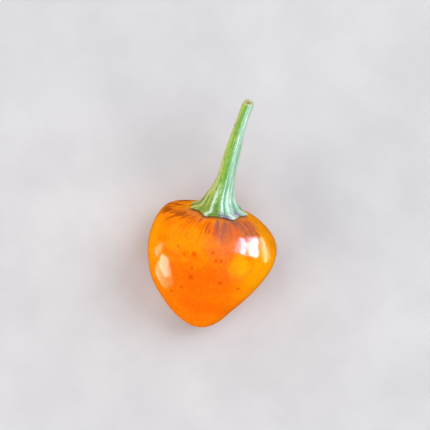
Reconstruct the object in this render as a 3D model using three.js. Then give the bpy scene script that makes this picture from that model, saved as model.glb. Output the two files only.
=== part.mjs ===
// A small heart-shaped chilli pepper as picked: the glossy orange fruit, and the green stalk that
// flares into its toothed calyx. It lies on its side, leaning on the cone below its widest place.
// Units are millimetres and +Z is up. The stalk points along +Y and the tip along -Y, and the
// origin is the centre of the small flat spot that the fruit rests on.
//
// Both pieces are shaped in the fruit's own frame, upright on its tip, with the crown at the
// origin and the stalk along +Z. An azimuth of -90 degrees there faces straight up when it lies.
import * as THREE from "three";

// Driving dimensions
const FRUIT_WIDTH = 30;
const FLATNESS = 0.84; // the fruit's depth front to back, as a share of its width
const CALYX_WIDTH = 13.6; // across the tips of its longest teeth
const STALK_LENGTH = 26.4;
const LEAN = THREE.MathUtils.degToRad(22); // rise of the fruit's axis from the tip to the crown
const FLAT_DEPTH = 0.4; // how much of the skin the resting spot takes off
const SEAT_GAP = 0.3; // between the skin and the calyx

// Mesh density
const FRUIT_AROUND = 72;
const FRUIT_ALONG = 40;
const STALK_AROUND = 96;

// The skin's control rings from the crown to the tip, in shares of half the fruit's width. depth
// is below the crown and shift is along X. dropX and dropY say how much further down the +X and
// +Y sides lie, and lobe swells the ring at the fruit's four soft lobes.
const RINGS = [
  { depth: 0.033, radius: 0 },
  { depth: 0.02, radius: 0.293 },
  { depth: 0.087, radius: 0.587, dropX: -0.066, dropY: 0.06, lobe: 0.01 },
  { depth: 0.249, radius: 0.951, shift: 0.035, dropX: 0.106, dropY: 0.03, lobe: 0.032 },
  { depth: 0.6, radius: 1.08, shift: 0.027, lobe: 0.035 },
  { depth: 0.973, radius: 0.98, shift: -0.019, lobe: 0.035 },
  { depth: 1.327, radius: 0.83, shift: -0.057, lobe: 0.032 },
  { depth: 1.647, radius: 0.58, shift: -0.036, lobe: 0.021 },
  { depth: 1.91, radius: 0.392, shift: 0.005, lobe: 0.01 },
  { depth: 2.169, radius: 0, shift: 0.07 },
];
const LOBE_COUNT = 4;
const LOBE_AT = THREE.MathUtils.degToRad(45); // between the front, back and sides

// The calyx's teeth, each at the foot of a rib of the stalk: azimuth in degrees, length in mm.
const TEETH = [
  { at: -184, length: 1.3 },
  { at: -157, length: 1.3 },
  { at: -112, length: 1.2 },
  { at: -60, length: 1.0 },
  { at: -7, length: 1.2 },
  { at: 36, length: 1.2 },
  { at: 80, length: 1.1 },
  { at: 128, length: 1.2 },
];
const TOOTH_HALF_WIDTH = THREE.MathUtils.degToRad(23);
const LONGEST_TOOTH = Math.max(...TEETH.map((tooth) => tooth.length));
const RIM_RADIUS = CALYX_WIDTH / 2 - LONGEST_TOOTH;
const RIM_THICKNESS = 0.45;
const RIM_FRONT = 1; // how far the rim is off centre, towards the side that faces up

// The stalk's outline from its cut end down to the calyx's rim, in mm: mean radius, height above
// the skin, shift along X, and front, which is a shift towards the side that faces up. The rim
// itself follows from the teeth.
const STALK_OUTLINE = [
  { radius: 0.75, height: STALK_LENGTH },
  { radius: 1.08, height: STALK_LENGTH - 0.25 },
  { radius: 1.22, height: STALK_LENGTH - 0.8 },
  { radius: 1.24, height: STALK_LENGTH - 2.5 },
  { radius: 1.23, height: STALK_LENGTH - 5 },
  { radius: 1.33, height: 18.5 },
  { radius: 1.5, height: 16 },
  { radius: 1.68, height: 13 },
  { radius: 1.72, height: 10.5 },
  { radius: 1.83, height: 8.5 },
  { radius: 1.98, height: 7 },
  { radius: 2.24, height: 5.7, shift: -0.08 },
  { radius: 2.64, height: 4.4, shift: -0.2 },
  { radius: 3.15, height: 3.2, shift: -0.28, front: 0.1 },
  { radius: 3.75, height: 2.15, shift: -0.2, front: 0.25 },
  { radius: 4.4, height: 1.4, shift: -0.1, front: 0.45 },
  { radius: 5, height: 0.95, front: 0.7 },
];
const UNDERSIDE_SHARES = [0.97, 0.75, 0.5, 0.25]; // of the rim's radius

const END_DIMPLE = 0.1; // at the middle of the cut end

// How far the stalk's cut end has bent away from the crown's axis
const BEND_X = 1.6;
const BEND_Y = 1;

// Ribs: height in the flare and at the cut end, and width on the surface
const RIB_AT_FLARE = 0.42;
const RIB_AT_END = 0.07;
const RIB_HALF_WIDTH = 1.05;
const FLARE_HEIGHT = 8; // where the flare has become a round stalk

const FRUIT_MATERIAL = new THREE.MeshStandardMaterial({ color: "#ff8a0c", roughness: 0.2, metalness: 0 });
const STALK_MATERIAL = new THREE.MeshStandardMaterial({ color: "#86a853", roughness: 0.55, metalness: 0 });

// A ring's point at an azimuth, in mm in the fruit's frame.
function ringPoint({ depth, radius, shift = 0, dropX = 0, dropY = 0, lobe = 0 }, azimuth) {
  const swollen = radius * (1 + lobe * Math.cos(LOBE_COUNT * (azimuth - LOBE_AT)));
  return new THREE.Vector3(
    shift + swollen * Math.cos(azimuth),
    FLATNESS * swollen * Math.sin(azimuth),
    -depth - radius * (dropX * Math.cos(azimuth) + dropY * Math.sin(azimuth)),
  ).multiplyScalar(FRUIT_WIDTH / 2);
}

// A point of the skin. It is a uniform cubic B-spline over the rings, with along counted in rings
// from the crown, and it runs on over both poles to the far side, which keeps them smooth.
function skinPoint(azimuth, along) {
  const tip = RINGS.length - 1;
  const first = Math.min(Math.floor(along), tip - 1);
  const f = along - first;
  const weights = [
    (1 - f) ** 3 / 6,
    (3 * f ** 3 - 6 * f ** 2 + 4) / 6,
    (-3 * f ** 3 + 3 * f ** 2 + 3 * f + 1) / 6,
    f ** 3 / 6,
  ];
  const point = new THREE.Vector3();
  weights.forEach((weight, k) => {
    const index = first + k - 1;
    const inside = THREE.MathUtils.clamp(index, 0, tip);
    const overPole = index - inside; // -1 past the crown, 1 past the tip
    const ring = RINGS[inside - overPole];
    point.addScaledVector(ringPoint(ring, overPole ? azimuth + Math.PI : azimuth), weight);
  });
  return point;
}

// The skin's point near the crown at a distance from its axis. The first rings are evenly spaced,
// so the distance is in proportion to along.
function crownPoint(azimuth, distance) {
  return skinPoint(azimuth, distance / (RINGS[1].radius * (FRUIT_WIDTH / 2)));
}

// A closed mesh over a pole, rings of points going down from it, and a second pole.
function closedGeometry(pole, rings, farPole) {
  const around = rings[0].length;
  const lastRing = rings.length - 1;
  const points = [pole, ...rings.flat(), farPole];
  const at = (ring, i) => 1 + ring * around + (i % around);
  const faces = [];
  for (let i = 0; i < around; i++) {
    faces.push(0, at(0, i), at(0, i + 1));
    for (let ring = 0; ring < lastRing; ring++) {
      faces.push(at(ring, i), at(ring + 1, i), at(ring + 1, i + 1));
      faces.push(at(ring, i), at(ring + 1, i + 1), at(ring, i + 1));
    }
    faces.push(at(lastRing, i), points.length - 1, at(lastRing, i + 1));
  }
  const geometry = new THREE.BufferGeometry().setFromPoints(points);
  geometry.setIndex(faces);
  geometry.computeVertexNormals();
  return geometry;
}

function ringOf(around, pointAt) {
  return Array.from({ length: around }, (_, i) => pointAt((i / around) * 2 * Math.PI));
}

function makeFruit() {
  const tip = RINGS.length - 1;
  const rings = [];
  for (let i = 1; i < FRUIT_ALONG; i++) {
    const along = (i / FRUIT_ALONG) * tip;
    rings.push(ringOf(FRUIT_AROUND, (azimuth) => skinPoint(azimuth, along)));
  }
  const fruit = new THREE.Mesh(closedGeometry(skinPoint(0, 0), rings, skinPoint(0, tip)), FRUIT_MATERIAL);
  fruit.name = "fruit";
  return fruit;
}

// How far round it is from one azimuth to another, 0 to pi.
function turnBetween(a, b) {
  return Math.abs(THREE.MathUtils.euclideanModulo(a - b + Math.PI, 2 * Math.PI) - Math.PI);
}

// 1 on a rib's line and 0 beyond half its width, highest of all the ribs at these azimuths.
function ribShare(azimuth, azimuths, halfWidth) {
  const nearest = Math.min(...azimuths.map((at) => turnBetween(azimuth, at)));
  return nearest < halfWidth ? 0.5 + 0.5 * Math.cos((Math.PI * nearest) / halfWidth) : 0;
}

const RIB_AZIMUTHS = TEETH.map((tooth) => THREE.MathUtils.degToRad(tooth.at));
// A finer vein runs half way between each two ribs.
const VEIN_AZIMUTHS = RIB_AZIMUTHS.map((at, i) => {
  const next = RIB_AZIMUTHS[(i + 1) % RIB_AZIMUTHS.length];
  return at + THREE.MathUtils.euclideanModulo(next - at, 2 * Math.PI) / 2;
});
const VEIN_SHARE = 0.45;

// The calyx's radius at an azimuth: a scalloped rim with a pointed tooth at each rib.
function rimRadius(azimuth) {
  const teeth = TEETH.map((tooth, i) => {
    const away = turnBetween(azimuth, RIB_AZIMUTHS[i]) / TOOTH_HALF_WIDTH;
    return tooth.length * Math.max(0, 1 - away) ** 1.3;
  });
  return RIM_RADIUS - RIM_FRONT * Math.sin(azimuth) + Math.max(...teeth);
}

// A point of the stalk's outside. Low down it follows the skin, and higher up its bent centre line.
function stalkPoint(azimuth, { radius, height, shift = 0, front = 0 }) {
  const s = height / STALK_LENGTH;
  const centre = new THREE.Vector3(shift + BEND_X * s ** 3, BEND_Y * s ** 3 - front, height);
  const slope = (3 * s ** 2) / STALK_LENGTH;
  const tangent = new THREE.Vector3(BEND_X * slope, BEND_Y * slope, 1).normalize();
  const across = new THREE.Vector3(1, 0, 0).addScaledVector(tangent, -tangent.x).normalize();
  const upwards = tangent.clone().cross(across);

  const ribHeight = THREE.MathUtils.mapLinear(
    Math.max(height, FLARE_HEIGHT), FLARE_HEIGHT, STALK_LENGTH, RIB_AT_FLARE / 2, RIB_AT_END,
  );
  const flare = 1 - THREE.MathUtils.smoothstep(height, 0, FLARE_HEIGHT);
  const halfWidth = RIB_HALF_WIDTH / radius;
  const rib = (ribHeight + (flare * RIB_AT_FLARE) / 2) * ribShare(azimuth, RIB_AZIMUTHS, halfWidth);
  const vein = flare * RIB_AT_FLARE * VEIN_SHARE * ribShare(azimuth, VEIN_AZIMUTHS, halfWidth);

  // Ribs stand out from the stalk, and upwards from the flare's spread foot.
  const outward = (rib + vein) * (1 - 0.8 * flare);
  const reach = radius + outward;
  centre.addScaledVector(across, reach * Math.cos(azimuth));
  centre.addScaledVector(upwards, reach * Math.sin(azimuth));
  centre.z += (rib + vein - outward) + flare * crownPoint(azimuth, radius).z;
  return centre;
}

// The calyx's rim and underside, which lie on the skin at the seat's gap.
function calyxPoint(azimuth, radius, height) {
  const point = crownPoint(azimuth, radius);
  point.z += SEAT_GAP + height;
  return point;
}

function makeStalk() {
  const outside = STALK_OUTLINE.map((ring) =>
    ringOf(STALK_AROUND, (azimuth) => stalkPoint(azimuth, ring)),
  );
  const end = new THREE.Vector3(BEND_X, BEND_Y, STALK_LENGTH - END_DIMPLE);
  const rim = [
    { inset: 0.25, height: RIM_THICKNESS },
    { inset: 0, height: RIM_THICKNESS / 2 },
  ].map(({ inset, height }) =>
    ringOf(STALK_AROUND, (azimuth) => calyxPoint(azimuth, rimRadius(azimuth) - inset, height)),
  );
  const underside = UNDERSIDE_SHARES.map((share) =>
    ringOf(STALK_AROUND, (azimuth) => calyxPoint(azimuth, share * rimRadius(azimuth), 0)),
  );
  const rings = [...outside, ...rim, ...underside];
  const stalk = new THREE.Mesh(closedGeometry(end, rings, calyxPoint(0, 0, 0)), STALK_MATERIAL);
  stalk.name = "stalk";
  return stalk;
}

// Presses the fruit's lowest skin flat, and moves the chilli so that the flat spot's centre is the
// origin.
function restOnSurface(chilli, fruit) {
  const down = new THREE.Vector3(0, 0, -1).applyQuaternion(chilli.quaternion.clone().invert());
  const position = fruit.geometry.getAttribute("position");
  const points = Array.from({ length: position.count }, (_, i) =>
    new THREE.Vector3().fromBufferAttribute(position, i),
  );
  const surface = Math.max(...points.map((point) => point.dot(down))) - FLAT_DEPTH;
  const foot = new THREE.Box3();
  points.forEach((point, i) => {
    const below = point.dot(down) - surface;
    if (below <= 0) return;
    point.addScaledVector(down, -below);
    position.setXYZ(i, point.x, point.y, point.z);
    foot.expandByPoint(point.applyQuaternion(chilli.quaternion));
  });
  fruit.geometry.computeVertexNormals();
  chilli.position.copy(foot.getCenter(new THREE.Vector3()).negate());
}

const fruit = makeFruit();
const chilli = new THREE.Group();
chilli.rotation.x = LEAN - Math.PI / 2;
chilli.add(fruit, makeStalk());
restOnSurface(chilli, fruit);

export default chilli;
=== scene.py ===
"""Dresses a small heart-shaped chilli pepper: glossy mottled skin, green stalk and toothed calyx.

Both pieces are worked out in the fruit's own frame, upright with its crown at the origin and the
stalk along +Z, where an azimuth of -90 degrees faces straight up once the fruit lies down. They
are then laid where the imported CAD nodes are. Lengths are in metres, and MM turns millimetres
into metres.
"""
import math

import bpy
import numpy as np
from mathutils import Matrix, Vector


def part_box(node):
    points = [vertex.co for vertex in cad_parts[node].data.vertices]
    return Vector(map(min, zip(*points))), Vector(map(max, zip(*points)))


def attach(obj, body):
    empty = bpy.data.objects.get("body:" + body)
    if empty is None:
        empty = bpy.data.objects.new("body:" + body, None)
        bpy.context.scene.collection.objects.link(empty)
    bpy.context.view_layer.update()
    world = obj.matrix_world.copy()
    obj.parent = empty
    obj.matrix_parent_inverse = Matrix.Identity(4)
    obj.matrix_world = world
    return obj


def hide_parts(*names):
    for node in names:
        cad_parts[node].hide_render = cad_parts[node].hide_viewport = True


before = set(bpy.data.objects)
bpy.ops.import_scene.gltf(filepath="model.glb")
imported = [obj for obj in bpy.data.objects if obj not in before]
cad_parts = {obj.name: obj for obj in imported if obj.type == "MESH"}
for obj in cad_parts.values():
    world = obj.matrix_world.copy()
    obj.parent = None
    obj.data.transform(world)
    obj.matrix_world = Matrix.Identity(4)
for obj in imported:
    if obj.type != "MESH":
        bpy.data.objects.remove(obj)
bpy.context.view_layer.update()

MM = 0.001

# The photograph: its size, the crown's place in it, and its camera
PHOTO_SIZE = 430
CROWN_PIXEL = (219.6, 207.4)
CAMERA_HEIGHT = 300 * MM
FIELD_OF_VIEW = math.radians(20)
CAMERA_ROLL = math.radians(12)

# The fruit's form, as in its CAD source
HALF_WIDTH = 15 * MM
FLATNESS = 0.84
LEAN = math.radians(22)
FLAT_DEPTH = 0.4 * MM
LOBE_COUNT = 4
LOBE_AT = math.radians(45)
# Control rings from the crown to the tip: depth, radius, shift, drop X, drop Y, lobe
RINGS = np.array([
    (0.033, 0, 0, 0, 0, 0),
    (0.02, 0.293, 0, 0, 0, 0),
    (0.087, 0.587, 0, -0.066, 0.06, 0.01),
    (0.249, 0.951, 0.035, 0.106, 0.03, 0.032),
    (0.6, 1.08, 0.027, 0, 0, 0.035),
    (0.973, 0.98, -0.019, 0, 0, 0.035),
    (1.327, 0.83, -0.057, 0, 0, 0.032),
    (1.647, 0.58, -0.036, 0, 0, 0.021),
    (1.91, 0.392, 0.005, 0, 0, 0.01),
    (2.169, 0, 0.07, 0, 0, 0),
])
TIP = len(RINGS) - 1
# The first rings are evenly spaced, so near the crown the distance from it is along times this
RING_SPACING = RINGS[1, 1] * HALF_WIDTH
# A small dimple at the tip, which the CAD source leaves out
TIP_SCAR_DEPTH = 0.25 * MM

# The stalk's form, as in its CAD source apart from a rounder cut end
SEAT_GAP = 0.3 * MM
STALK_LENGTH = 26.4 * MM
# The calyx's teeth: azimuth in degrees and length in mm
TEETH = [
    (-184, 1.3), (-157, 1.3), (-112, 1.2), (-60, 1.0), (-7, 1.2), (36, 1.2), (80, 1.1), (128, 1.2),
]
TOOTH_AZIMUTHS = np.radians([at for at, _ in TEETH])
TOOTH_HALF_WIDTH = math.radians(23)
RIM_RADIUS = 5.5 * MM
RIM_THICKNESS = 0.45 * MM
RIM_INSET = 0.25 * MM
RIM_FRONT = 1 * MM
BEND_X = 1.6 * MM
BEND_Y = 1 * MM
RIB_AT_FLARE = 0.42 * MM
RIB_AT_END = 0.07 * MM
RIB_HALF_WIDTH = 1.05 * MM
FLARE_HEIGHT = 8 * MM
VEIN_SHARE = 0.45
# The cut end in mm: radius, and depth below the stalk's length. Its middle rises by END_DOME.
END_OUTLINE = [(0.35, -0.14), (0.75, 0), (1.06, 0.3), (1.21, 0.8), (1.24, 2.5), (1.23, 5)]
END_DOME = 0.18 * MM
# The whole outline from the cut end down to the rim: radius, height, shift, front
STALK_OUTLINE = MM * np.array([
    *((radius, STALK_LENGTH / MM - depth, 0, 0) for radius, depth in END_OUTLINE),
    (1.33, 18.5, 0, 0),
    (1.5, 16, 0, 0),
    (1.68, 13, 0, 0),
    (1.72, 10.5, 0, 0),
    (1.83, 8.5, 0, 0),
    (1.98, 7, 0, 0),
    (2.24, 5.7, -0.08, 0),
    (2.64, 4.4, -0.2, 0),
    (3.15, 3.2, -0.28, 0.1),
    (3.75, 2.15, -0.2, 0.25),
    (4.4, 1.4, -0.1, 0.45),
    (5, 0.95, 0, 0.7),
])
UNDERSIDE_SHARES = (0.97, 0.75, 0.5, 0.25)

# Mesh density of the fine surfaces
SKIN_AROUND = 340
SKIN_ALONG = 220
STALK_AROUND = 288
STALK_STEPS = 280
# The share of the stalk's rows that are outside, above the rim and the underside
OUTSIDE_SHARE = 0.8


def smoothstep(low, high, value):
    share = np.clip((value - low) / (high - low), 0, 1)
    return share * share * (3 - 2 * share)


def turn_between(a, b):
    """How far round it is from one azimuth to another, 0 to pi."""
    return np.abs((a - b + math.pi) % (2 * math.pi) - math.pi)


# The fruit's skin as a surface

def ring_points(rings, azimuth):
    """Points of rings of the skin, in the upright fruit's frame."""
    depth, radius, shift, drop_x, drop_y, lobe = np.moveaxis(rings, -1, 0)
    swollen = radius * (1 + lobe * np.cos(LOBE_COUNT * (azimuth - LOBE_AT)))
    return HALF_WIDTH * np.stack([
        shift + swollen * np.cos(azimuth),
        FLATNESS * swollen * np.sin(azimuth),
        -depth - radius * (drop_x * np.cos(azimuth) + drop_y * np.sin(azimuth)),
    ], -1)


def skin_points(azimuth, along):
    """Points of the skin: a cubic B-spline over the rings that runs on over both poles."""
    first = np.minimum(np.floor(along).astype(int), TIP - 1)
    f = along - first
    weights = (
        (1 - f) ** 3 / 6,
        (3 * f ** 3 - 6 * f ** 2 + 4) / 6,
        (-3 * f ** 3 + 3 * f ** 2 + 3 * f + 1) / 6,
        f ** 3 / 6,
    )
    points = 0
    for k, weight in enumerate(weights):
        index = first + k - 1
        inside = np.clip(index, 0, TIP)
        over_pole = index - inside
        taps = ring_points(RINGS[inside - over_pole], azimuth + math.pi * (over_pole != 0))
        points = points + weight[..., None] * taps
    return points


def crown_points(azimuth, distance):
    """The skin near the crown at a distance from its axis."""
    return skin_points(azimuth, distance / RING_SPACING)


def normals_of(points):
    """Outward unit normals of a grid of points, rows from the top pole down, columns round."""
    down = np.gradient(points, axis=0)
    around = np.roll(points, -1, axis=1) - np.roll(points, 1, axis=1)
    normals = np.cross(down, around)
    return normals / np.maximum(np.linalg.norm(normals, axis=-1, keepdims=True), 1e-12)


def waves(seed, azimuth, along, most_around, most_along, count=14):
    """Smooth relief without a seam, about -1 to 1, from seeded waves round and along."""
    draw = np.random.default_rng(seed)
    total = 0
    for _ in range(count):
        around = draw.integers(1, most_around + 1)
        length = draw.uniform(0.15, 1) * most_along
        phase, offset = draw.uniform(0, 2 * math.pi, 2)
        total = total + np.cos(around * azimuth + phase) * np.cos(length * along + offset)
    return total / math.sqrt(count)


def patches(azimuth, along, places):
    """How deep inside any of these ovals a point is: 1 in its middle, 0.5 on its edge, 0 far out."""
    depth = np.zeros_like(azimuth)
    for at, middle, half_width, half_length in places:
        across = np.degrees(turn_between(azimuth, math.radians(at))) / half_width
        lengthwise = (along - middle) / half_length
        depth = np.maximum(depth, 1 - np.hypot(across, lengthwise) / 2)
    return depth


def skin_relief(azimuth, along):
    """How far the skin stands out from its smooth form, which shows alone at the two poles."""
    away_from_poles = smoothstep(1, 2.6, along) * (1 - smoothstep(7.4, 8.8, along))
    folds = 0.015 * MM * waves(3, azimuth, along, 15, 0.8)
    dents = 0.02 * MM * waves(8, azimuth, along, 7, 2.6)
    pits = 0.003 * MM * waves(5, azimuth, along, 60, 24, 30)
    groove_round_calyx = 0.12 * MM * np.exp(-((along - 1.62) / 0.12) ** 2)
    tip_scar = TIP_SCAR_DEPTH * np.exp(-((along - TIP) / 0.14) ** 2)
    return away_from_poles * (folds + dents + pits) - groove_round_calyx - tip_scar


# Meshes from grids of points

def mesh_object(name, grid, top, bottom):
    """A closed mesh over a grid of points and the two poles, as an object at the origin."""
    rows, columns = grid.shape[:2]
    points = np.vstack([grid.reshape(-1, 3), top[None], bottom[None]])
    ids = np.arange(rows * columns).reshape(rows, columns)
    turned = np.roll(ids, -1, axis=1)
    quads = np.stack([ids[:-1], ids[1:], turned[1:], turned[:-1]], -1).reshape(-1, 4)
    top_id, bottom_id = rows * columns, rows * columns + 1
    top_fan = [(top_id, a, b) for a, b in zip(ids[0], turned[0])]
    bottom_fan = [(a, bottom_id, b) for a, b in zip(ids[-1], turned[-1])]
    mesh = bpy.data.meshes.new(name)
    mesh.from_pydata(points.tolist(), [], quads.tolist() + top_fan + bottom_fan)
    mesh.validate()
    mesh.shade_smooth()
    piece = bpy.data.objects.new(name, mesh)
    bpy.context.scene.collection.objects.link(piece)
    return piece


def give_attribute(piece, name, values, top, bottom):
    """Stores a number or a vector for each point of a grid mesh, and for its poles."""
    is_vector = values.ndim == 3
    flat = values.reshape(-1, 3) if is_vector else values.reshape(-1)
    flat = np.concatenate([flat, [top], [bottom]]).astype(np.float32)
    kind, field = ("FLOAT_VECTOR", "vector") if is_vector else ("FLOAT", "value")
    attribute = piece.data.attributes.new(name, kind, "POINT")
    attribute.data.foreach_set(field, flat.ravel())


def lay_down(points):
    """Turns points of the upright fruit so that it lies on its side, before it is moved."""
    turn = LEAN - math.pi / 2
    x, y, z = np.moveaxis(points, -1, 0)
    return np.stack([
        x,
        math.cos(turn) * y - math.sin(turn) * z,
        math.sin(turn) * y + math.cos(turn) * z,
    ], -1)


def press_flat(points):
    """Presses the lowest points to the level of the resting spot."""
    surface = points[..., 2].min() + FLAT_DEPTH
    return np.concatenate([points[..., :2], np.maximum(points[..., 2:], surface)], -1)


def place_of_crown():
    """Where the crown lies: the smooth skin's box is the CAD fruit's box."""
    azimuth, along = np.meshgrid(np.linspace(0, 2 * math.pi, 360), np.linspace(0, TIP, 300))
    smooth = press_flat(lay_down(skin_points(azimuth, along))).reshape(-1, 3)
    low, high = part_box("fruit")
    middle = (np.array(low) + np.array(high)) / 2
    place = middle - (smooth.min(0) + smooth.max(0)) / 2
    place[2] = low.z - smooth[:, 2].min()
    return place


CROWN = place_of_crown()


# Materials

def colour(hex_code):
    """A linear colour with alpha from an sRGB hex code."""
    channels = [int(hex_code[i:i + 2], 16) / 255 for i in (1, 3, 5)]
    linear = [c / 12.92 if c <= 0.04045 else ((c + 0.055) / 1.055) ** 2.4 for c in channels]
    return (*linear, 1)


class Shader:
    """A Principled material, with short calls that add its nodes and return their output."""

    def __init__(self, name, **sockets):
        self.material = bpy.data.materials.new(name)
        self.material.use_nodes = True
        self.tree = self.material.node_tree
        self.principled = self.tree.nodes["Principled BSDF"]
        self.set(**sockets)

    def set(self, **sockets):
        """Sets sockets of the Principled node, named with _ for each space."""
        for name, value in sockets.items():
            self.put(self.principled.inputs[name.replace("_", " ")], value)

    def put(self, socket, value):
        """Links a socket to another node's output, or sets its value."""
        if isinstance(value, bpy.types.NodeSocket):
            self.tree.links.new(value, socket)
        else:
            socket.default_value = value

    def node(self, kind, *inputs, **properties):
        """A new node with its first inputs and its properties set."""
        node = self.tree.nodes.new(kind)
        for name, value in properties.items():
            setattr(node, name, value)
        for socket, value in zip(node.inputs, inputs):
            self.put(socket, value)
        return node

    def attribute(self, name, vector=False):
        node = self.node("ShaderNodeAttribute", attribute_name=name)
        return node.outputs["Vector" if vector else "Fac"]

    def place(self):
        return self.node("ShaderNodeTexCoord").outputs["Object"]

    def math(self, operation, *values):
        return self.node("ShaderNodeMath", *values, operation=operation).outputs[0]

    def times(self, *factors):
        product = factors[0]
        for factor in factors[1:]:
            product = self.math("MULTIPLY", product, factor)
        return product

    def noise(self, vector, scale, detail=3, roughness=0.55):
        """Noise from 0 to 1, mostly near 0.5."""
        node = self.node("ShaderNodeTexNoise")
        self.put(node.inputs["Vector"], vector)
        self.put(node.inputs["Scale"], scale)
        self.put(node.inputs["Detail"], detail)
        self.put(node.inputs["Roughness"], roughness)
        return node.outputs["Fac"]

    def streaks(self, vector, around, lengthwise, detail=3, roughness=0.55):
        """Noise with its own scale round the vector's third axis and along it."""
        factors = (around, around, lengthwise)
        stretched = self.node("ShaderNodeVectorMath", vector, factors, operation="MULTIPLY").outputs[0]
        return self.noise(stretched, 1, detail, roughness)

    def inside(self, name, grain, raggedness, softness):
        """1 inside the marks of that name, with edges that the grain makes ragged."""
        shift = self.times(self.math("SUBTRACT", grain, 0.5), raggedness)
        depth = self.math("ADD", self.attribute(name), shift)
        return self.between(depth, 0.5 - softness, 0.5 + softness)

    def between(self, value, low, high, to_low=0, to_high=1):
        """Where value lies between low and high, smoothly, as to_low to to_high."""
        node = self.node("ShaderNodeMapRange", interpolation_type="SMOOTHSTEP")
        for name, number in zip(
            ("Value", "From Min", "From Max", "To Min", "To Max"),
            (value, low, high, to_low, to_high),
        ):
            self.put(node.inputs[name], number)
        return node.outputs["Result"]

    def ramp(self, value, stops):
        """A colour from sRGB hex codes at places from 0 to 1."""
        node = self.node("ShaderNodeValToRGB", value)
        elements = node.color_ramp.elements
        for _ in stops[2:]:
            elements.new(1)
        # Every place is set before any colour, because a new place can change the elements' order
        for element, (at, _) in zip(elements, stops):
            element.position = at
        for element, (_, hex_code) in zip(elements, stops):
            element.color = colour(hex_code)
        return node.outputs["Color"]

    def mix(self, share, a, b):
        """The first colour where the share is 0, and the second where it is 1."""
        node = self.node("ShaderNodeMix", data_type="RGBA")
        self.put(node.inputs[0], share)
        self.put(node.inputs[6], a)
        self.put(node.inputs[7], b)
        return node.outputs[2]

    def paint(self, base, hex_code, *shares):
        """The base with a colour over it, as much as the product of the shares."""
        return self.mix(self.times(*shares), base, colour(hex_code))

    def bump(self, height, depth, normal=None):
        """A normal that is bent by a height from 0 to 1, over another bump's normal."""
        node = self.node("ShaderNodeBump")
        self.put(node.inputs["Distance"], depth)
        self.put(node.inputs["Height"], height)
        if normal is not None:
            self.put(node.inputs["Normal"], normal)
        return node.outputs[0]


# Marks on the skin, and a painted shade near the tip, as ovals: azimuth in degrees, along in rings,
# half width and half length
MARKS = {
    "purple": [
        (-87, 2.25, 6, 0.6), (-76, 2.15, 6, 0.5), (-82, 2.35, 10, 0.55), (-58, 1.75, 13, 0.45),
        (-44, 2.05, 16, 0.5),
    ],
    "smear": [
        (-82, 2.75, 13, 0.75), (-66, 2.3, 12, 0.6), (-50, 2.3, 16, 0.6), (-30, 1.85, 18, 0.4),
        (-140, 1.8, 26, 0.3),
    ],
    "blotches": [
        (-88.5, 2.05, 2.2, 0.3), (-77.5, 1.95, 2.2, 0.3), (-61, 1.75, 6, 0.2), (-114, 2, 1.6, 0.22),
    ],
    "dashes": [
        (177, 2.5, 24, 0.6), (-172, 2.7, 14, 0.45), (-157, 2.65, 16, 0.55), (-146, 2.25, 13, 0.4),
        (-130, 2.3, 7, 0.3), (150, 2.6, 16, 0.6),
    ],
    "fine_streaks": [
        (-20, 2.1, 22, 0.55), (-46, 2.1, 16, 0.6), (-14, 2.5, 16, 0.6), (-33, 2.5, 12, 0.6),
        (20, 2.2, 30, 0.4), (70, 2.3, 20, 0.5), (110, 2.3, 16, 0.4), (-110, 2.5, 19, 0.65),
        (-128, 2.2, 10, 0.35), (-96, 2.3, 8, 0.5),
    ],
    "glow": [(-118, 3.1, 34, 0.9), (-30, 2.6, 24, 0.6)],
    "gold": [
        (-36, 3.9, 22, 1.4), (-18, 2.9, 18, 0.9), (-6, 2.55, 18, 0.8), (-60, 3.9, 10, 0.5),
        (40, 3.6, 40, 1.5), (150, 3.6, 30, 1.5),
    ],
    "deep": [(-92, 5, 28, 1.5), (100, 5, 50, 1.4)],
    # Painted shade: a darker crescent near the tip
    "painted_tip_shade": [(-80, 6.45, 30, 0.42)],
}
# Small brown specks: azimuth, along, and radius in mm
SPECKS = [
    (-112.8, 3.87, 0.42), (-104.8, 3.75, 0.5), (-89.2, 3.51, 0.42), (-85, 3.8, 0.46),
    (-80.8, 3.75, 0.4), (-103, 4.35, 0.42), (-101.8, 4.79, 0.7), (-108.8, 5.45, 0.36),
    (-119.5, 5.87, 0.4), (-75, 4.79, 0.55), (-120, 3.65, 0.36), (-56, 5, 0.36),
]


def ripe_colours_and_rim_light(skin, grain, broad, clouds, fine):
    """The skin's oranges and a painted light along its outline, without its marks."""
    base = skin.mix(skin.between(grain, 0.38, 0.62), colour("#fa6800"), colour("#ff7a00"))
    base = skin.paint(base, "#fd6200", skin.inside("deep", broad, 0.7, 0.45), 0.9)
    base = skin.paint(base, "#ff9000", skin.inside("glow", clouds, 1.4, 0.4), 0.65)
    base = skin.paint(base, "#ffaa00", skin.inside("gold", grain, 1, 0.4), 0.85)
    # Painted light: thin flesh near the outline lets more light through, so the colour there is
    # painted more golden
    outline = skin.node("ShaderNodeLayerWeight", 0.5).outputs["Facing"]
    outline = skin.between(outline, 0.2, 0.7, 0, 0.85)
    base = skin.paint(base, "#ffa800", outline, skin.attribute("upper"))
    shoulder = skin.attribute("shoulder")
    base = skin.paint(base, "#ff9c20", skin.between(fine, 0.52, 0.75, 0, 0.5), shoulder)
    return skin.paint(base, "#e85400", skin.between(fine, 0.48, 0.28, 0, 0.55), shoulder)


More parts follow.
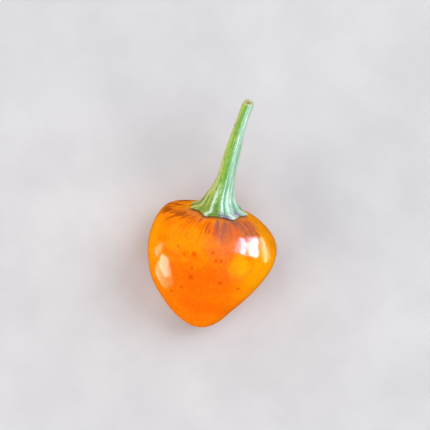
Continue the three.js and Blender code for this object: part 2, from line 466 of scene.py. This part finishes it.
def marked(skin, base, meridian, broad, clouds, wide, fine):
    """The base with its purple and brown marks, which run down from the calyx."""
    smear = skin.inside("smear", fine, 0.8, 0.4)
    base = skin.paint(base, "#c86440", smear, skin.between(wide, 0.3, 0.7, 0.45, 0.75))
    purple = skin.inside("purple", fine, 0.9, 0.3)
    base = skin.paint(base, "#a85f4c", purple, skin.between(wide, 0.3, 0.6, 0.35, 0.95))
    base = skin.paint(base, "#86504a", skin.inside("blotches", fine, 0.9, 0.35), 0.8)
    base = skin.paint(base, "#e05c10", skin.inside("dashes", clouds, 0.8, 0.4), 0.45)
    dash = skin.between(skin.streaks(meridian, 8, 0.28, 2), 0.43, 0.53)
    base = skin.paint(base, "#8e3412", dash, skin.inside("dashes", broad, 0.6, 0.3), 0.85)
    streak = skin.between(skin.streaks(meridian, 24, 0.2, 2), 0.5, 0.62)
    return skin.paint(base, "#a8401c", streak, skin.inside("fine_streaks", broad, 0.6, 0.3), 0.75)


def specked(skin, base, place):
    """The base with its small brown specks."""
    for azimuth, along, radius in SPECKS:
        point = CROWN + lay_down(skin_points(np.array(math.radians(azimuth)), np.array(float(along))))
        away = skin.node("ShaderNodeVectorMath", place, tuple(point), operation="DISTANCE")
        speck = skin.between(away.outputs["Value"], 0.2 * radius * MM, 1.7 * radius * MM, 0.75, 0)
        base = skin.paint(base, "#c24000", speck)
    return base


def skin_material():
    skin = Shader(
        "chilli_skin", IOR=1.44, Subsurface_Weight=0.1, Subsurface_Scale=1.2 * MM,
        Subsurface_Radius=(1, 0.35, 0.08),
    )
    place = skin.place()
    meridian = skin.attribute("meridian", vector=True)
    broad = skin.noise(place, 120, 2)
    clouds = skin.noise(place, 330, 4, 0.6)
    flecks = skin.noise(place, 1500, 3, 0.6)
    pores = skin.noise(place, 1900, 2, 0.5)
    wide = skin.streaks(meridian, 8, 0.1)
    fine = skin.streaks(meridian, 26, 0.22)

    grain = skin.math("ADD", skin.times(wide, 0.4), skin.times(clouds, 0.6))
    base = ripe_colours_and_rim_light(skin, grain, broad, clouds, fine)
    base = marked(skin, base, meridian, broad, clouds, wide, fine)
    base = skin.paint(base, "#e65000", skin.between(flecks, 0.5, 0.3, 0, 0.3))
    base = skin.paint(base, "#ff9a10", skin.between(flecks, 0.52, 0.7, 0, 0.3))
    # Painted shade: a darker crescent near the tip
    base = skin.paint(base, "#f05a00", skin.inside("painted_tip_shade", clouds, 0.5, 0.3), 0.4)
    base = specked(skin, base, place)
    cork = skin.times(skin.attribute("cork"), skin.between(fine, 0.35, 0.6, 0.25, 0.9))
    base = skin.paint(base, "#a26a42", cork)

    roughness = skin.between(broad, 0.3, 0.7, 0.07, 0.11)
    roughness = skin.math("ADD", roughness, skin.times(cork, 0.35))
    normal = skin.bump(fine, 0.03 * MM, skin.bump(pores, 0.016 * MM))
    skin.set(Base_Color=base, Roughness=roughness, Normal=normal)
    return skin.material


# The fruit

def make_fruit():
    azimuth, along = np.meshgrid(
        np.linspace(0, 2 * math.pi, SKIN_AROUND, endpoint=False),
        np.linspace(0, TIP, SKIN_ALONG + 1)[1:-1],
    )
    smooth = skin_points(azimuth, along)
    raised = smooth + skin_relief(azimuth, along)[..., None] * normals_of(smooth)
    poles = skin_points(np.zeros(2), np.array([0.0, TIP]))
    poles[1, 2] += TIP_SCAR_DEPTH
    everything = np.vstack([raised.reshape(-1, 3), poles])
    placed = press_flat(lay_down(everything)) + CROWN
    placed[:, 2] -= placed[:, 2].min()
    piece = mesh_object("fruit_skin", placed[:-2].reshape(raised.shape), placed[-2], placed[-1])

    distance = along * RING_SPACING
    meridian = np.stack([np.cos(azimuth), np.sin(azimuth), distance / MM], -1)
    give_attribute(piece, "meridian", meridian, (0, 0, 0), (0, 0, distance.max() / MM))
    for name, places in MARKS.items():
        give_attribute(piece, name, patches(azimuth, along, places), 0, 0)
    cork = 1 - smoothstep(0.25 * MM, 0.8 * MM, distance - rim_radius(azimuth))
    give_attribute(piece, "cork", cork, 1, 0)
    give_attribute(piece, "shoulder", 1 - smoothstep(2.2, 4.8, along), 1, 0)
    give_attribute(piece, "upper", 1 - 0.8 * smoothstep(4.2, 6.6, along), 1, 0.2)
    piece.data.materials.append(skin_material())
    return piece


# The stalk with its calyx

def share_of_ribs(azimuth, azimuths, half_width):
    """1 on a rib's line and 0 beyond half its width."""
    nearest = np.min([turn_between(azimuth, at) for at in azimuths], axis=0)
    return 0.5 + 0.5 * np.cos(math.pi * np.minimum(nearest / half_width, 1))


def vein_azimuths():
    """A finer vein runs half way between each two ribs."""
    following = np.roll(TOOTH_AZIMUTHS, -1)
    return TOOTH_AZIMUTHS + ((following - TOOTH_AZIMUTHS) % (2 * math.pi)) / 2


def rim_radius(azimuth):
    """The calyx's radius: a scalloped rim with a pointed tooth at each rib."""
    teeth = [
        length * MM * np.maximum(0, 1 - turn_between(azimuth, at) / TOOTH_HALF_WIDTH) ** 1.3
        for at, (_, length) in zip(TOOTH_AZIMUTHS, TEETH)
    ]
    return RIM_RADIUS - RIM_FRONT * np.sin(azimuth) + np.max(teeth, axis=0)


def unit(vectors):
    return vectors / np.linalg.norm(vectors, axis=-1, keepdims=True)


def stalk_ring(azimuth, radius, height, shift, front):
    """A ring of the stalk's outside. Low down it follows the skin, higher up its centre line."""
    s = height / STALK_LENGTH
    slope = 3 * s ** 2 / STALK_LENGTH
    tangent = unit(np.array([BEND_X * slope, BEND_Y * slope, 1]))
    across = unit(np.array([1, 0, 0]) - tangent * tangent[0])
    upwards = np.cross(tangent, across)
    climb = np.clip((height - FLARE_HEIGHT) / (STALK_LENGTH - FLARE_HEIGHT), 0, 1)
    rib_height = RIB_AT_FLARE / 2 + climb * (RIB_AT_END - RIB_AT_FLARE / 2)
    flare = 1 - smoothstep(0, FLARE_HEIGHT, height)
    half_width = RIB_HALF_WIDTH / radius
    rib = (rib_height + flare * RIB_AT_FLARE / 2) * share_of_ribs(azimuth, TOOTH_AZIMUTHS, half_width)
    vein = flare * RIB_AT_FLARE * VEIN_SHARE * share_of_ribs(azimuth, vein_azimuths(), half_width)
    # Ribs stand out from the stalk, and upwards from the flare's spread foot
    outward = (rib + vein) * (1 - 0.8 * flare)
    reach = (radius + outward)[:, None]
    points = np.array([shift + BEND_X * s ** 3, BEND_Y * s ** 3 - front, height])
    points = points + reach * (across * np.cos(azimuth)[:, None] + upwards * np.sin(azimuth)[:, None])
    skin_height = crown_points(azimuth, np.full_like(azimuth, radius))[:, 2]
    points[:, 2] += rib + vein - outward + flare * skin_height
    return points


def calyx_ring(azimuth, radius, height):
    """A ring of the calyx's rim or underside, which lie on the skin at the seat's gap."""
    points = crown_points(azimuth, radius)
    points[:, 2] += SEAT_GAP + height
    return points


def through_rings(rings, steps):
    """A smooth grid through rings of points, evenly spaced along the surface."""
    gaps = np.linalg.norm(np.diff(rings, axis=0), axis=-1).mean(1)
    knots = np.concatenate([[0], np.cumsum(gaps)])
    slopes = np.gradient(rings, knots, axis=0)
    at = np.linspace(0, knots[-1], steps)
    first = np.clip(np.searchsorted(knots, at, side="right") - 1, 0, len(knots) - 2)
    span = (knots[first + 1] - knots[first])[:, None, None]
    t = (at - knots[first])[:, None, None] / span
    return (
        (2 * t ** 3 - 3 * t ** 2 + 1) * rings[first]
        + (t ** 3 - 2 * t ** 2 + t) * span * slopes[first]
        + (3 * t ** 2 - 2 * t ** 3) * rings[first + 1]
        + (t ** 3 - t ** 2) * span * slopes[first + 1]
    )


# Across the stalk, from its left edge in the picture to its right one: the pale cream edge and the
# bluish right part are painted sheen, the greens between are its own colour
STALK_COLOURS_AND_SHEEN = [
    (0.0, "#c4c88e"), (0.08, "#b8c276"), (0.17, "#98b656"), (0.3, "#80ae42"), (0.44, "#689a36"),
    (0.5, "#70a854"), (0.56, "#7cb894"), (0.68, "#84bea8"), (0.88, "#76b0a2"), (1.0, "#629c84"),
]


def stalk_material():
    stalk = Shader(
        "chilli_stalk", IOR=1.4, Specular_IOR_Level=0.22, Subsurface_Weight=0.1,
        Subsurface_Scale=0.8 * MM, Subsurface_Radius=(0.5, 0.9, 0.25),
    )
    place = stalk.place()
    fibre = stalk.attribute("fibre", vector=True)
    height = stalk.attribute("height")
    side = stalk.attribute("side")
    strands = stalk.streaks(fibre, 5, 0.12, 3, 0.6)
    threads = stalk.streaks(fibre, 16, 0.3, 3, 0.6)
    pleats = stalk.streaks(fibre, 7.5, 0.06, 2, 0.5)
    speckle = stalk.streaks(fibre, 6, 1.3, 2)
    mottle = stalk.noise(place, 700, 3)

    # Across the stalk in the picture: yellow-green on its left, bluish on its right. The pale cream at
    # the left edge and the bluish right are painted sheen of the light.
    turn = stalk.math("ADD", side, stalk.times(stalk.math("SUBTRACT", strands, 0.5), 0.3))
    base = stalk.ramp(stalk.math("MULTIPLY_ADD", turn, 0.5, 0.5), STALK_COLOURS_AND_SHEEN)
    right = stalk.between(turn, 0, 0.2)
    foot = stalk.between(height, 0.03, 0.26, 1, 0)
    base = stalk.paint(base, "#7c8c3a", foot, stalk.between(turn, -0.25, 0.05, 0.8, 0))
    # Painted sheen of the cool light on the right: pale mint at the foot and pale strands; the darker
    # strands are the stalk's own green
    base = stalk.paint(base, "#aee4d2", foot, right, 0.8)
    base = stalk.paint(base, "#dcf2ea", stalk.between(strands, 0.52, 0.62, 0, 0.7), right)
    base = stalk.paint(base, "#62a676", stalk.between(strands, 0.47, 0.38, 0, 0.7), right)

    # Painted highlights on pale pleats, and painted shade in the dark grooves between them, on the
    # right of the flare
    pleated = stalk.times(stalk.between(height, 0.2, 0.45, 1, 0), right)
    base = stalk.paint(base, "#4c986c", stalk.between(pleats, 0.5, 0.43, 0, 0.85), pleated)
    base = stalk.paint(base, "#e4f6f4", stalk.between(pleats, 0.54, 0.6, 0, 0.8), pleated)

    # Painted highlights on the ribs: they show near the foot, and a little further up on the right
    rib = stalk.attribute("rib")
    rib_highlight_colour = stalk.mix(stalk.between(turn, -0.7, -0.35), colour("#b4c478"), colour("#d0f0e4"))
    near_foot = stalk.between(height, 0.12, 0.3, 1, 0)
    shown = stalk.math("MAXIMUM", near_foot, stalk.between(turn, -0.2, 0.1, 0, 0.3))
    base = stalk.mix(stalk.times(rib, rib, shown, 0.8), base, rib_highlight_colour)

    base = stalk.paint(base, "#dce29a", stalk.between(threads, 0.52, 0.68, 0, 0.6))
    base = stalk.paint(base, "#4f8230", stalk.between(threads, 0.47, 0.32, 0, 0.6))
    base = stalk.paint(base, "#568a34", stalk.between(mottle, 0.5, 0.72, 0, 0.35))
    speckled = stalk.between(speckle, 0.5, 0.36, 0, 0.6)
    base = stalk.paint(base, "#4c7e30", speckled, stalk.between(turn, 0.3, 0, 0.3, 1))
    base = stalk.paint(base, "#80689a", stalk.attribute("rim_purple"), 0.9)
    base = stalk.paint(base, "#c3c594", stalk.between(height, 0.96, 0.985, 0, 0.7))
    base = stalk.paint(base, "#7d5a36", stalk.attribute("scar"), 0.85)

    relief = stalk.math("ADD", stalk.times(threads, 0.6), stalk.times(mottle, 0.4))
    normal = stalk.bump(relief, 0.06 * MM)
    roughness = stalk.between(threads, 0.3, 0.7, 0.42, 0.6)
    stalk.set(Base_Color=base, Roughness=roughness, Normal=normal)
    return stalk.material


def spot(azimuth, at, reach):
    """1 at an azimuth in degrees, and less the further round it is in shares of the reach."""
    return np.exp(-(np.degrees(turn_between(azimuth, math.radians(at))) / reach) ** 2)


def make_stalk():
    azimuth = np.linspace(0, 2 * math.pi, STALK_AROUND, endpoint=False)
    rim = rim_radius(azimuth)
    rings = [stalk_ring(azimuth, *ring) for ring in STALK_OUTLINE]
    rings.append(calyx_ring(azimuth, rim - RIM_INSET, RIM_THICKNESS))
    rings.append(calyx_ring(azimuth, rim, RIM_THICKNESS / 2))
    rings.extend(calyx_ring(azimuth, share * rim, 0) for share in UNDERSIDE_SHARES)
    grid = through_rings(np.array(rings), STALK_STEPS)

    turns = np.broadcast_to(azimuth, grid.shape[:2])
    climb = grid[..., 2] / STALK_LENGTH
    outside = np.arange(STALK_STEPS)[:, None] < OUTSIDE_SHARE * STALK_STEPS
    fibres = 0.02 * MM * waves(21, turns, climb, 40, 16, 40)
    knots = 0.05 * MM * waves(22, turns, climb, 5, 20, 12)
    grid = grid + np.where(outside, fibres + knots, 0)[..., None] * normals_of(grid)

    end = np.array([BEND_X, BEND_Y, STALK_LENGTH + END_DOME])
    seat = calyx_ring(np.zeros(1), np.zeros(1), 0)[0]
    placed = lay_down(np.vstack([grid.reshape(-1, 3), end, seat])) + CROWN
    piece = mesh_object("stalk_and_calyx", placed[:-2].reshape(grid.shape), placed[-2], placed[-1])

    off_centre = grid[..., 0] - grid[..., 0].mean(1, keepdims=True)
    radius = np.maximum(np.hypot(off_centre, grid[..., 1]), MM)
    ribs = share_of_ribs(turns, TOOTH_AZIMUTHS, RIB_HALF_WIDTH / radius)
    fibre = np.stack([np.cos(turns), np.sin(turns), grid[..., 2] / MM], -1)
    give_attribute(piece, "fibre", fibre, (0, 0, STALK_LENGTH / MM), (0, 0, 0))
    give_attribute(piece, "height", np.minimum(climb, 1), 1, 0)
    give_attribute(piece, "side", np.cos(turns), 0, 0)
    give_attribute(piece, "rib", ribs, 0, 0)
    inside_rim = rim_radius(turns) - np.hypot(grid[..., 0], grid[..., 1])
    near_rim = 1 - smoothstep(0.8 * MM, 2 * MM, inside_rim)
    rim_purple = near_rim * (spot(turns, -74, 12) + spot(turns, -38, 10))
    give_attribute(piece, "rim_purple", rim_purple, 0, 0)
    near_end = smoothstep(0.975, 0.99, climb) * (1 - smoothstep(0.998, 1.002, climb))
    give_attribute(piece, "scar", near_end * spot(turns, -95, 38), 0, 0)
    piece.data.materials.append(stalk_material())
    return piece


# Camera, floor and light

# The height that the soft lights face, near the fruit's middle
FRUIT_MIDDLE = 12 * MM
# Strips of the window panes, in mm
STRIP_WIDTH = 2.5
STRIP_RAGGEDNESS = 1.5


def image_direction(azimuth, elevation=0):
    """A direction from the fruit: azimuth from the picture's right towards its top, in degrees."""
    turn = math.radians(azimuth) + CAMERA_ROLL
    rise = math.radians(elevation)
    return Vector((math.cos(turn) * math.cos(rise), math.sin(turn) * math.cos(rise), math.sin(rise)))


def make_camera():
    """Looks straight down, with the crown at its place in the photograph."""
    focal = PHOTO_SIZE / 2 / math.tan(FIELD_OF_VIEW / 2)
    metres_per_pixel = float(CAMERA_HEIGHT - CROWN[2]) / focal
    right = image_direction(0)
    up = image_direction(90)
    place = Vector(CROWN)
    place -= (CROWN_PIXEL[0] - PHOTO_SIZE / 2) * metres_per_pixel * right
    place -= (PHOTO_SIZE / 2 - CROWN_PIXEL[1]) * metres_per_pixel * up
    place.z = CAMERA_HEIGHT
    camera = bpy.data.cameras.new("camera")
    camera.sensor_width = 36
    camera.angle = FIELD_OF_VIEW
    camera.clip_start = 0.01
    holder = bpy.data.objects.new("camera", camera)
    holder.location = place
    holder.rotation_euler = (0, 0, CAMERA_ROLL)
    bpy.context.scene.collection.objects.link(holder)
    bpy.context.scene.camera = holder


def make_floor():
    reach = 3
    corners = [(-reach, -reach, 0), (reach, -reach, 0), (reach, reach, 0), (-reach, reach, 0)]
    mesh = bpy.data.meshes.new("floor")
    mesh.from_pydata(corners, [], [(0, 1, 2, 3)])
    floor = bpy.data.objects.new("floor", mesh)
    bpy.context.scene.collection.objects.link(floor)
    floor.visible_glossy = False
    matt = Shader("floor", Roughness=0.9, Specular_IOR_Level=0.1)
    grain = matt.noise(matt.place(), 60, 4)
    matt.set(Base_Color=matt.mix(matt.between(grain, 0.3, 0.7), colour("#bcbcbf"), colour("#c3c3c5")))
    mesh.materials.append(matt.material)


def area_light(name, place, axes, size, radiance, tint, gloss):
    """A rectangular light that shines along -Z of its axes, in the gloss alone or outside it."""
    lamp = bpy.data.lights.new(name, "AREA")
    lamp.shape = "RECTANGLE"
    lamp.size, lamp.size_y = size
    lamp.energy = radiance * math.pi * size[0] * size[1]
    lamp.color = colour(tint)[:3]
    holder = bpy.data.objects.new(name, lamp)
    holder.matrix_world = Matrix.Translation(place) @ axes.to_4x4()
    holder.visible_camera = False
    holder.visible_diffuse = not gloss
    holder.visible_glossy = gloss
    bpy.context.scene.collection.objects.link(holder)


def soft_light(name, azimuth, elevation, distance, side, radiance, tint):
    """A square light that faces the middle of the fruit and doesn't show in its gloss."""
    away = image_direction(azimuth, elevation)
    place = Vector((0, 0, FRUIT_MIDDLE)) + distance * away
    axes = away.to_track_quat("Z", "Y").to_matrix()
    area_light(name, place, axes, (side, side), radiance, tint, gloss=False)


def window(name, anchor, azimuth, distance, panes):
    """Panes that show as highlights, on an upright plane at a distance from a place on the skin.

    A pane is its outline as rows of place sideways, lower and upper height in mm, with its
    radiance and its tint. It is made of narrow upright strips with ragged ends.
    """
    draw = np.random.default_rng(17)
    away = image_direction(azimuth)
    sideways = Vector((-away.y, away.x, 0))
    axes = Matrix((sideways, (0, 0, 1), away)).transposed()
    for number, (outline, radiance, tint) in enumerate(panes):
        places, lows, highs = np.array(outline, float).T
        strip_count = math.ceil((places[-1] - places[0]) / STRIP_WIDTH)
        edges = np.linspace(places[0], places[-1], strip_count + 1)
        width = float(edges[1] - edges[0])
        for k, aside in enumerate((edges[1:] + edges[:-1]) / 2):
            low = float(np.interp(aside, places, lows) + draw.uniform(0, STRIP_RAGGEDNESS))
            high = float(np.interp(aside, places, highs) - draw.uniform(0, STRIP_RAGGEDNESS))
            place = (Vector(anchor) + distance * away + float(aside) * sideways) * MM
            place.z = (low + high) / 2 * MM
            size = (width * MM, (high - low) * MM)
            area_light(f"{name}_{number}_{k}", place, axes, size, radiance, tint, gloss=True)


def make_world():
    """Dark grey above, and the fruit's own warm glow on the table from below."""
    world = bpy.data.worlds.new("studio")
    world.use_nodes = True
    nodes, links = world.node_tree.nodes, world.node_tree.links
    direction = nodes.new("ShaderNodeTexCoord").outputs["Generated"]
    parts = nodes.new("ShaderNodeSeparateXYZ")
    links.new(direction, parts.inputs[0])
    height = nodes.new("ShaderNodeMapRange")
    height.inputs["From Min"].default_value = -1
    links.new(parts.outputs["Z"], height.inputs["Value"])
    sky = nodes.new("ShaderNodeValToRGB")
    below, above = sky.color_ramp.elements
    below.position = 0.45
    below.color = colour("#c4661c")
    above.position = 0.62
    above.color = colour("#48494b")
    links.new(height.outputs["Result"], sky.inputs["Fac"])
    links.new(sky.outputs["Color"], nodes["Background"].inputs["Color"])
    bpy.context.scene.world = world


def make_lights():
    # Azimuth and elevation, distance and side in metres, radiance, tint
    soft_light("key", 35, 50, 0.6, 0.35, 7, "#f6f9ff")
    soft_light("top", 80, 85, 0.8, 0.6, 1.4, "#ffffff")
    soft_light("fill", 200, 30, 0.7, 0.5, 4.2, "#fff6ec")
    soft_light("front", -70, 28, 0.6, 0.4, 3.4, "#ffffff")
    soft_light("back", 125, 30, 0.7, 0.5, 2.4, "#ffffff")

    # Seen as a white block, with two lilac streaks to its left and a yellow band to its right
    white = [(-20, 35, 61), (-18, 33, 58), (-11, 30, 53), (-4, 25, 47), (0, 20, 42), (5, 13, 34)]
    white_corner = [(5, 13, 34), (11, 25, 27)]
    lilac = [(-20, 69, 80), (-13, 60, 78), (-4, 51, 67), (5, 38, 53), (8, 34, 47), (14, 31, 37)]
    far_lilac = [(-15, 86, 103), (-4, 73, 87), (3, 60, 71), (13, 44, 51)]
    yellow = [(-34, 7, 21), (-18, 11, 24), (-9, 8, 22), (-6, 7, 22), (-2, 3, 16), (3, 1, 9)]
    beige = [(-30, 1, 5), (-18, 1, 9), (-9, 0.5, 6), (-5, 0.5, 4.5)]
    window("window_right", (11, 7, 21), 30, 30, [
        (white, 30, "#f6f4ff"),
        (white_corner, 18, "#e8ccff"),
        (lilac, 38, "#e6d0ff"),
        (far_lilac, 20, "#e0b0f4"),
        (yellow, 10, "#fff2c4"),
        (beige, 4, "#ffe8cc"),
    ])
    # Seen as a small patch above a large one, which fades downwards
    small = [(-19, 23, 31), (-16, 13, 29), (-13, 4, 27), (-10, 5, 24), (-8, 7, 20), (-6, 13, 15)]
    large = [(-5, 20, 26), (0, 1, 32), (5, 1, 30), (8, 1, 28.5)]
    lower = [(8, 1, 28.5), (12, 1, 26.5)]
    lowest = [(12, 1, 26.5), (15, 1, 26), (18, 8, 24), (21, 15, 20)]
    window("window_left", (-9, -2, 20), -155, 30, [
        (small, 4.2, "#ffe8d4"),
        (large, 4.5, "#ffe8d0"),
        (lower, 3.6, "#ffe8c4"),
        (lowest, 2.6, "#ffe8b8"),
    ])
    # The large patch's bright core lies in front of it, because panes on one plane hide each other
    core = [(-5, 21, 25), (-1, 13, 31), (4, 13, 31), (9, 15, 28), (14, 18, 24)]
    window("window_left_core", (-9, -2, 20), -155, 29, [(core, 7.5, "#fff0e0")])


bpy.context.scene.view_settings.view_transform = "Standard"
make_camera()
fruit = make_fruit()
stalk = make_stalk()
for piece, node, slot in ((fruit, "fruit", "fruit_skin"), (stalk, "stalk", "stalk_green")):
    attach(piece, "root")
    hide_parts(node)
make_floor()
make_world()
make_lights()
